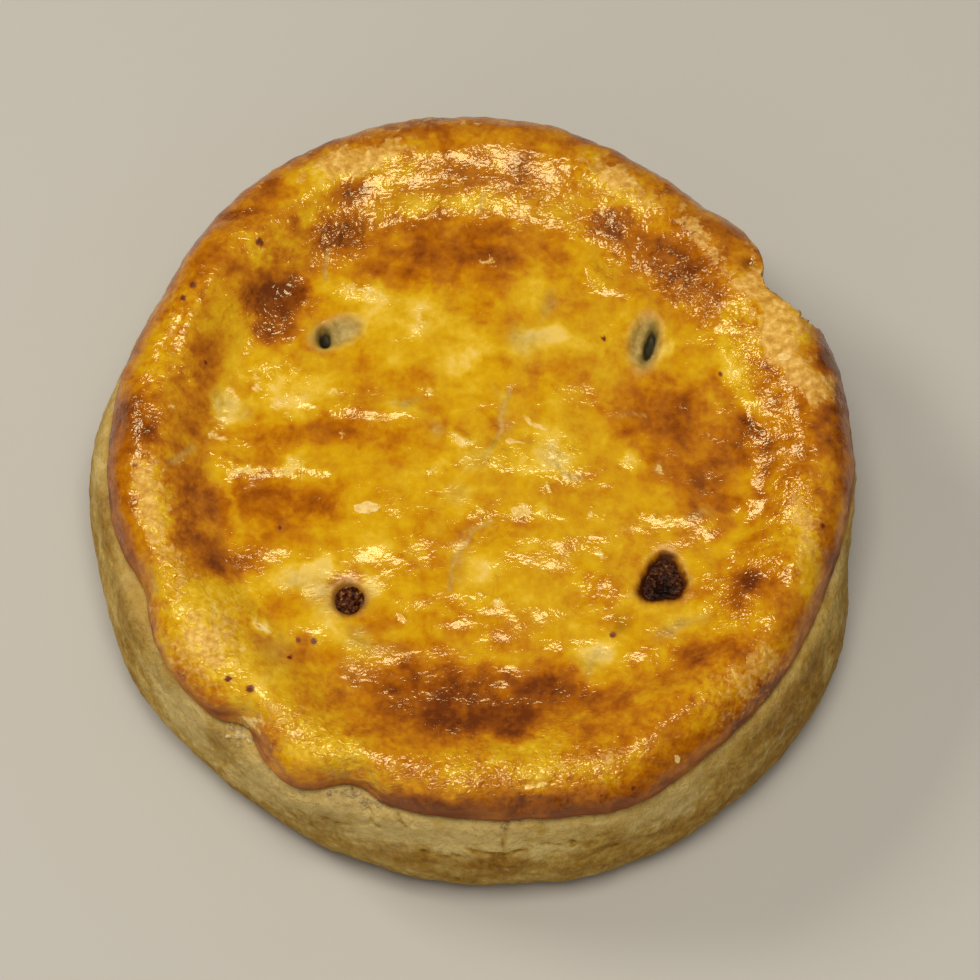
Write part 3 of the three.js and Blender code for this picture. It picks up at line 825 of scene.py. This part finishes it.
# Dried gravy in the two front vents: its top over the lid round the vent, the swell of its middle
gravyForm = {
    "gravyLeft": {"node": "gravy_left", "vent": "left", "top": 0.0, "swell": 0.35, "width": 1.12},
    "gravyRight": {"node": "gravy_right", "vent": "right", "top": -0.8, "swell": -0.7, "width": 1.02},
}
gravyFoot = 26.9
gravyLumps = [(0.2, 1.0, 31, 2), (0.2, 0.5, 32, 1)]  # height, size, seed, octaves
burntForward = 1.6  # the darkest place lies this far in front of a vent's middle


def levelRound(lid, vent):
    points = readPoints(lid)
    distance = ventDistance(points, vent)
    return points[(distance > 1.3) & (distance < 1.6) & (points[:, 2] > lowestDig), 2].mean()


def buildGravy(name, lid):
    form = gravyForm[name]
    vent = ventHoles[form["vent"]]
    ventX, ventY = vent["at"]
    plug = addPiece(name, bpy.ops.mesh.primitive_uv_sphere_add, segments=72, ring_count=56, radius=mm)
    ball = freshPoints(plug)
    corner = form["width"] * (1 + vent["corners"] * np.cos(3 * np.arctan2(ball[:, 1], ball[:, 0])))
    u, v = ball[:, 0] * vent["half"][0] * corner, ball[:, 1] * vent["half"][1] * corner
    x, y = turned(u, v, vent["turn"])
    top = levelRound(lid, vent) + form["top"]
    middle, half = (gravyFoot + top) / 2, (top - gravyFoot) / 2
    flat = np.sign(ball[:, 2]) * np.abs(ball[:, 2]) ** 0.5
    swell = form["swell"] * (1 - np.hypot(ball[:, 0], ball[:, 1])) * (ball[:, 2] > 0)
    points = np.stack([ventX + x, ventY + y, middle + half * flat + swell], 1)
    writePoints(plug, points)
    rough = lumps(points, gravyLumps) * ease(points[:, 2], gravyFoot + 0.4, gravyFoot + 1)
    points += readNormals(plug) * rough[:, None]
    points[:, 2] = np.maximum(points[:, 2], gravyFoot)
    writePoints(plug, points)
    # a sunken plug is dark burnt gravy, with painted shade darkest in its hollow
    burnt = bell(np.hypot(points[:, 0] - ventX, points[:, 1] - ventY + burntForward), 1.6)
    writeLayers(plug, burnt=0.2 + 0.8 * burnt if form["swell"] < 0 else 0 * burnt)
    return plug


# Flakes and crumbs of pastry that lie loose
crumbForm = {
    "seed": 5,
    # angle round the pie, its spread, radius, how many, largest size
    "heaps": [(229.5, 1.6, 54.4, 12, 0.5), (249.5, 2.4, 54.2, 22, 0.55), (273.6, 0.3, 55.2, 3, 0.4)],
    "furthest": 55.5,
}
# cream flakes stuck to the lid: x, y, half-widths, turn, thickness
flakes = [
    (-16.9, -8.1, 1.8, 0.95, 4, 0.3), (44.9, 14.6, 1.1, 0.65, 0, 0.35),
    (28.3, -47.2, 0.45, 0.45, 20, 0.35),
]


def liftOnto(ground, x, y):
    # height of a piece's top at a place
    start = Vector(((x + pieAxis[0]) * mm, (y + pieAxis[1]) * mm, 2 * cadHigh.z))
    return ground.ray_cast(start, Vector((0, 0, -1)))[1].z / mm


def buildFlakes(lid):
    pieces = []
    for index, (x, y, halfX, halfY, turn, thick) in enumerate(flakes):
        ballAdd = bpy.ops.mesh.primitive_uv_sphere_add
        flake = addPiece("flake", ballAdd, segments=48, ring_count=24, radius=mm)
        ball = freshPoints(flake)
        uneven = 1 + 0.3 * waves(ball * (1, 1, 0), 0.6, 50 + index, 2)
        u, v = turned(ball[:, 0] * halfX * uneven, ball[:, 1] * halfY * uneven, turn)
        flat = np.sign(ball[:, 2]) * np.abs(ball[:, 2]) ** 0.4
        ground = np.array([liftOnto(lid, *place) for place in zip(x + u, y + v)])
        writePoints(flake, np.stack([x + u, y + v, ground + 0.5 * thick * flat], 1))
        pieces.append(flake)
    return joined(pieces, "flakes")


def buildCrumbs(case):
    pick = random.Random(crumbForm["seed"])
    pieces = []
    for at, spread, radius, count, largest in crumbForm["heaps"]:
        for _ in range(count):
            angle = math.radians(at + pick.gauss(0, spread))
            away = min(radius + pick.gauss(0, 0.45), crumbForm["furthest"])
            x, y = math.cos(angle) * away, math.sin(angle) * away
            size = largest * pick.uniform(0.35, 1)
            ballAdd = bpy.ops.mesh.primitive_ico_sphere_add
            crumb = addPiece("crumb", ballAdd, subdivisions=2, radius=size * mm)
            points = freshPoints(crumb)
            uneven = 1 + 0.9 * waves(points, 0.8 * size, pick.uniform(0, 40), 2)
            points *= uneven[:, None] * np.array([1.3, 1.0, 0.5])
            writePoints(crumb, points + np.array([x, y, liftOnto(case, x, y) + 0.2 * size]))
            pieces.append(crumb)
    return joined(pieces, "crumbs")


def joined(pieces, name):
    makeActive(pieces[0])
    for piece in pieces:
        piece.select_set(True)
    bpy.ops.object.join()
    whole = bpy.context.object
    whole.name = name
    return whole


# Finishes
def newFinish(name):
    finish = bpy.data.materials.new(name)
    finish.use_nodes = True
    return finish, finish.node_tree, finish.node_tree.nodes["Principled BSDF"]


def setInputs(tree, node, inputs):
    # links an output of another node, and sets anything else on the input itself
    for name, value in inputs.items():
        if isinstance(value, bpy.types.NodeSocket):
            tree.links.new(value, node.inputs[name])
        else:
            node.inputs[name].default_value = value


def newNode(tree, kind, **inputs):
    node = tree.nodes.new("ShaderNode" + kind)
    setInputs(tree, node, inputs)
    return node


def calc(tree, operation, first, second):
    node = newNode(tree, "Math")
    node.operation = operation
    setInputs(tree, node, {0: first, 1: second})
    return node.outputs[0]


def add(tree, first, second):
    return calc(tree, "ADD", first, second)


def times(tree, first, second):
    return calc(tree, "MULTIPLY", first, second)


def layer(tree, name):
    node = newNode(tree, "Attribute")
    node.attribute_name = name
    return node.outputs["Fac"]


def grain(tree, perMetre, detail, stretch=(1, 1, 1), swirl=0.0):
    place = newNode(tree, "TexCoord").outputs["Object"]
    place = newNode(tree, "Mapping", Vector=place, Scale=stretch).outputs["Vector"]
    noisy = newNode(tree, "TexNoise", Vector=place, Scale=perMetre, Detail=detail, Distortion=swirl)
    return noisy.outputs["Fac"]


blisterPull = {"perMetre": 500, "reach": 0.003}


def blisters(tree, perMetre):
    # low round domes, packed close, of uneven size and pulled about
    place = newNode(tree, "TexCoord").outputs["Object"]
    pull = newNode(tree, "TexNoise", Vector=place, Scale=blisterPull["perMetre"]).outputs["Color"]
    shifted = newNode(tree, "VectorMath")
    shifted.operation = "MULTIPLY_ADD"
    setInputs(tree, shifted, {0: pull, 1: [blisterPull["reach"]] * 3, 2: place})
    domes = newNode(tree, "TexVoronoi", Vector=shifted.outputs["Vector"], Scale=perMetre)
    away = domes.outputs["Distance"]
    return calc(tree, "SUBTRACT", 1.0, times(tree, away, away))


def ramp(tree, value, stops):
    node = newNode(tree, "ValToRGB", Fac=value)
    elements = node.color_ramp.elements
    elements[0].position, elements[1].position = stops[0][0], stops[-1][0]
    elements[0].color, elements[1].color = linear(stops[0][1]), linear(stops[-1][1])
    for position, colour in stops[1:-1]:
        elements.new(position).color = linear(colour)
    return node.outputs["Color"]


def linear(colour):
    # from the usual 0 to 255 to light
    shares = [c / 255 for c in colour]
    return [s / 12.92 if s <= 0.04045 else ((s + 0.055) / 1.055) ** 2.4 for s in shares] + [1]


def blendColour(tree, share, first, second):
    node = newNode(tree, "Mix")
    node.data_type = "RGBA"
    setInputs(tree, node, {"Factor": share, 6: first, 7: second})
    return node.outputs[2]


def bump(tree, height, distance, strength, under=None):
    node = newNode(tree, "Bump", Height=height, Distance=distance, Strength=strength)
    if under:
        tree.links.new(under, node.inputs["Normal"])
    return node.outputs["Normal"]


# Colours from 0 to 255, each after the amount at which it is reached
glazeColours = [
    (0, (234, 198, 96)), (0.12, (226, 184, 50)), (0.27, (212, 166, 16)), (0.42, (202, 147, 8)),
    (0.56, (190, 122, 5)), (0.7, (170, 97, 3)), (0.85, (142, 73, 4)), (1, (106, 46, 5)),
]
doughColours = [(0.32, (176, 118, 32)), (0.5, (207, 153, 62)), (0.66, (234, 192, 110))]
creamColours = [(0.3, (216, 166, 62)), (0.5, (240, 204, 118)), (0.7, (250, 226, 160))]
steamedColours = [(0.3, (122, 98, 44)), (0.5, (168, 142, 76)), (0.7, (204, 178, 112))]
shadeColours = [(0.0, (166, 144, 84)), (0.4, (104, 88, 44)), (0.7, (52, 42, 20)), (1.0, (16, 11, 5))]
pitColours = [(0.0, (190, 112, 6)), (0.5, (124, 50, 0)), (1.0, (66, 14, 0))]
scorchColours = [(0.0, (176, 100, 6)), (0.3, (124, 56, 4)), (0.6, (72, 24, 3)), (1.0, (22, 7, 2))]
caseColours = [
    (0, (218, 192, 122)), (0.25, (192, 159, 79)), (0.5, (163, 124, 43)), (0.75, (131, 91, 19)),
    (1, (98, 62, 8)),
]
ochreColours = [(0.3, (112, 70, 8)), (0.5, (146, 100, 22)), (0.7, (178, 134, 52))]
greyColours = [(0.3, (140, 112, 62)), (0.5, (174, 146, 88)), (0.7, (204, 178, 120))]
crumbColours = [(0.3, (132, 110, 66)), (0.5, (172, 150, 100)), (0.7, (212, 190, 136))]
flakeColours = [(0.3, (216, 172, 84)), (0.6, (242, 210, 134))]
gravyColours = [(0.35, (28, 9, 4)), (0.48, (62, 25, 9)), (0.6, (96, 50, 19)), (0.72, (150, 110, 56))]
underLipColour = (134, 62, 0)
flourColour = (206, 186, 134)
burntColour = (14, 4, 2)
black, white = (0, 0, 0), (255, 255, 255)


def centred(tree, value, amount):
    return times(tree, calc(tree, "SUBTRACT", value, 0.5), amount)


def step(tree, value, low, high):
    return ramp(tree, value, [(low, black), (high, white)])


def ragged(tree, mask, perMetre, amount, edge):
    # a soft mask broken up into patches
    broken = add(tree, mask, centred(tree, grain(tree, perMetre, 7, swirl=0.5), amount))
    return step(tree, broken, 0.5 - edge, 0.5 + edge)


def setSurface(tree, shader, colour, normal, roughness, specular):
    gloss = {"Roughness": roughness, "Specular IOR Level": specular}
    setInputs(tree, shader, {"Base Color": colour, "Normal": normal, **gloss})


def brushedGlaze(tree, grit):
    # clouds, islands with clear edges, and grains where the pastry is rough
    browning = add(tree, layer(tree, "browning"), centred(tree, grain(tree, 260, 6, swirl=0.8), 0.42))
    islands = step(tree, grain(tree, 150, 9, swirl=1.0), 0.45, 0.55)
    browning = add(tree, browning, centred(tree, islands, 0.1))
    amount = add(tree, times(tree, grit, 0.7), 0.24)
    browning = add(tree, browning, centred(tree, grain(tree, 1100, 5, swirl=0.3), amount))
    colour = ramp(tree, browning, glazeColours)
    # baked brown and painted shade on the steep lip
    return blendColour(tree, layer(tree, "underLip"), colour, linear(underLipColour))


def glazeRoughness(tree, bare, steamed, pits, scorch):
    # dry places are dull, burnt gravy shines, and the steep lip is dullest
    rough = add(tree, times(tree, grain(tree, 160, 4), 0.14), 0.06)
    dry = add(tree, add(tree, bare, layer(tree, "matte")), add(tree, steamed, pits))
    rough = add(tree, rough, times(tree, calc(tree, "MINIMUM", dry, 1.0), 0.45))
    rough = times(tree, rough, calc(tree, "SUBTRACT", 1.0, times(tree, scorch, 0.55)))
    return calc(tree, "MAXIMUM", rough, times(tree, layer(tree, "steep"), 0.85))


def glazeRelief(tree, bare):
    # fine wrinkles in the glaze, crumbs where it is missing, blisters, and a fine skin over all
    wrinkled = times(tree, grain(tree, 1350, 1, (0.6, 1, 1), 0.8), layer(tree, "rumpled"))
    crumbled = times(tree, grain(tree, 1400, 4), times(tree, bare, 0.3))
    wrinkles = bump(tree, add(tree, wrinkled, crumbled), 0.4 * mm, 1.0)
    blister = times(tree, blisters(tree, 1050), layer(tree, "blister"))
    coarse = bump(tree, blister, 0.2 * mm, 1.0, wrinkles)
    return bump(tree, grain(tree, 2000, 1), 0.03 * mm, 1.0, coarse)


def glazedPastryFinish():
    finish, tree, shader = newFinish("glazedPastry")
    grit, scorch, steamed = layer(tree, "grit"), layer(tree, "scorch"), layer(tree, "steamed")
    shade, pits = layer(tree, "shade"), layer(tree, "pits")
    colour = brushedGlaze(tree, grit)
    # pale pastry that the glaze missed or ran off; its raised strokes also carry painted highlight
    bare = add(tree, layer(tree, "bare"), times(tree, grit, 0.3))
    bare = times(tree, ragged(tree, bare, 900, 1.5, 0.16), 0.85)
    colour = blendColour(tree, bare, colour, ramp(tree, grain(tree, 1000, 8), doughColours))
    cream = times(tree, ragged(tree, layer(tree, "cream"), 1000, 1.4, 0.1), 0.75)
    colour = blendColour(tree, cream, colour, ramp(tree, grain(tree, 1500, 4), creamColours))
    damp = ramp(tree, grain(tree, 700, 6, swirl=0.5), steamedColours)
    colour = blendColour(tree, steamed, colour, damp)
    # dark marks, each whole at an amount of its own: painted shade in the back vents' hollows, pinholes and
    # scorch
    marks = [(shade, 0.6, shadeColours), (pits, 0.5, pitColours), (scorch, 0.6, scorchColours)]
    for mark, whole, colours in marks:
        colour = blendColour(tree, step(tree, mark, 0.0, whole), colour, ramp(tree, mark, colours))
    rough = glazeRoughness(tree, bare, steamed, pits, scorch)
    normal = glazeRelief(tree, bare)
    setInputs(tree, shader, {"Base Color": colour, "Roughness": rough, "Normal": normal})
    setInputs(tree, shader, {"IOR": 1.5, "Specular Tint": (1.0, 0.97, 0.58, 1)})
    return finish


def palePastryFinish():
    finish, tree, shader = newFinish("palePastry")
    tall = (1, 1, 0.7)
    browning = add(tree, layer(tree, "browning"), centred(tree, grain(tree, 420, 4, tall, 0.5), 0.7))
    browning = add(tree, browning, centred(tree, grain(tree, 1100, 4, tall), 0.6))
    colour = ramp(tree, browning, caseColours)
    ochre = times(tree, ragged(tree, layer(tree, "ochre"), 500, 1.2, 0.5), 0.8)
    colour = blendColour(tree, ochre, colour, ramp(tree, grain(tree, 900, 6, tall), ochreColours))
    greyed = times(tree, layer(tree, "grey"), 0.6)
    colour = blendColour(tree, greyed, colour, ramp(tree, grain(tree, 1100, 6, tall), greyColours))
    flour = times(tree, step(tree, grain(tree, 760, 5, tall), 0.62, 0.7), 0.35)
    flour = calc(tree, "MAXIMUM", flour, times(tree, layer(tree, "flour"), 0.6))
    colour = blendColour(tree, flour, colour, linear(flourColour))
    coarse = bump(tree, grain(tree, 900, 6, tall), 0.7 * mm, 0.8)
    normal = bump(tree, grain(tree, 2600, 3, tall), 0.26 * mm, 0.8, coarse)
    setSurface(tree, shader, colour, normal, roughness=0.7, specular=0.1)
    return finish


def driedGravyFinish():
    finish, tree, shader = newFinish("driedGravy")
    colour = ramp(tree, grain(tree, 1700, 3), gravyColours)
    # burnt gravy, and painted shade in the sunken plug's hollow
    colour = blendColour(tree, layer(tree, "burnt"), colour, linear(burntColour))
    normal = bump(tree, grain(tree, 2200, 3), 0.3 * mm, 0.7)
    setSurface(tree, shader, colour, normal, roughness=0.25, specular=0.08)
    return finish


def dryCrumbFinish(name, colours):
    finish, tree, shader = newFinish(name)
    colour = ramp(tree, grain(tree, 1200, 5), colours)
    normal = bump(tree, grain(tree, 2400, 3), 0.2 * mm, 0.6)
    setSurface(tree, shader, colour, normal, roughness=0.7, specular=0.3)
    return finish


def dress(piece, finish, node=None):
    piece.data.materials.clear()
    piece.data.materials.append(finish)
    makeActive(piece)
    bpy.ops.object.shade_smooth()
    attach(piece, "root")
    if node:
        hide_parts(node)


lid = buildBlank("glazedLid", lidForm)
brokenPoints = shapeLid(lid)
reliefLid(lid)
tintLid(lid, brokenPoints)
dress(lid, glazedPastryFinish(), "pastry_lid")
print("lid done")

case = buildBlank("paleCase", caseForm)
shapeCase(case)
tintCase(case)
dress(case, palePastryFinish(), "pastry_case")
print("case done")

gravyFinish = driedGravyFinish()
for gravyName in gravyForm:
    dress(buildGravy(gravyName, lid), gravyFinish, gravyForm[gravyName]["node"])
print("gravy done")

dress(buildFlakes(lid), dryCrumbFinish("creamFlake", flakeColours))
dress(buildCrumbs(case), dryCrumbFinish("dryCrumb", crumbColours))
bpy.ops.object.shade_flat()  # crumbs have edges
print("flakes and crumbs done")


# Floor, light and camera
floorForm = {"size": 6, "colour": (0.5, 0.49, 0.47, 1), "roughness": 0.8}


def buildFloor():
    place = (0, 0, cadLow.z)
    floor = addPiece("floor", bpy.ops.mesh.primitive_plane_add, size=floorForm["size"], location=place)
    finish, _, shader = newFinish("paleFloor")
    shader.inputs["Base Color"].default_value = floorForm["colour"]
    shader.inputs["Roughness"].default_value = floorForm["roughness"]
    floor.data.materials.append(finish)


softboxes = {
    "topLight": {"toward": (0.0, -0.12, 0.99), "size": 0.32, "power": 4.8},
    "keyLight": {"toward": (-0.62, 0.28, 0.74), "size": 0.24, "power": 2.8},
    "backFill": {"toward": (0.1, 0.86, 0.51), "size": 1.2, "power": 0.6},
    "rightFill": {"toward": (0.6, 0.1, 0.79), "size": 1.2, "power": 1.0},
    "frontFill": {"toward": (-0.3, -0.8, 0.5), "size": 1.2, "power": 2.4},
}
lightDistance = 0.9
lightAim = Vector((0, 0, 0.03))
lightColour = (1.0, 0.93, 0.8)
surround = {"colour": (1.0, 0.97, 0.92, 1), "strength": 0.06}


def buildLights():
    for name, box in softboxes.items():
        place = Vector(box["toward"]).normalized() * lightDistance
        light = addPiece(name, bpy.ops.object.light_add, type="AREA", location=place)
        light.data.size = box["size"]
        light.data.energy = box["power"]
        light.data.color = lightColour
        light.rotation_euler = (lightAim - light.location).to_track_quat("-Z", "Y").to_euler()
    world = bpy.data.worlds.new("softSurround")
    world.use_nodes = True
    background = world.node_tree.nodes["Background"]
    background.inputs["Color"].default_value = surround["colour"]
    background.inputs["Strength"].default_value = surround["strength"]
    bpy.context.scene.world = world


photoView = {
    "distance": 0.7,
    "lens": 173.4,
    "sensor": 36,
    "nearest": 0.01,
    "target": (*pieAxis, seenHeight),
    "offset": (1.3, -4.0),  # right and up in the picture, in millimetres
}


def buildCamera():
    back = Vector((0, -math.cos(viewTilt), math.sin(viewTilt)))
    right = Vector((1, 0, 0))
    up = back.cross(right)
    offset = right * photoView["offset"][0] + up * photoView["offset"][1]
    aim = (Vector(photoView["target"]) + offset) * mm
    place = aim + back * photoView["distance"]
    camera = addPiece("Camera", bpy.ops.object.camera_add, location=place)
    camera.rotation_euler = (-back).to_track_quat("-Z", "Y").to_euler()
    camera.data.lens = photoView["lens"]
    camera.data.sensor_width = photoView["sensor"]
    camera.data.clip_start = photoView["nearest"]
    bpy.context.scene.camera = camera


buildFloor()
buildLights()
buildCamera()
bpy.context.scene.view_settings.view_transform = "Standard"
print("stage done")
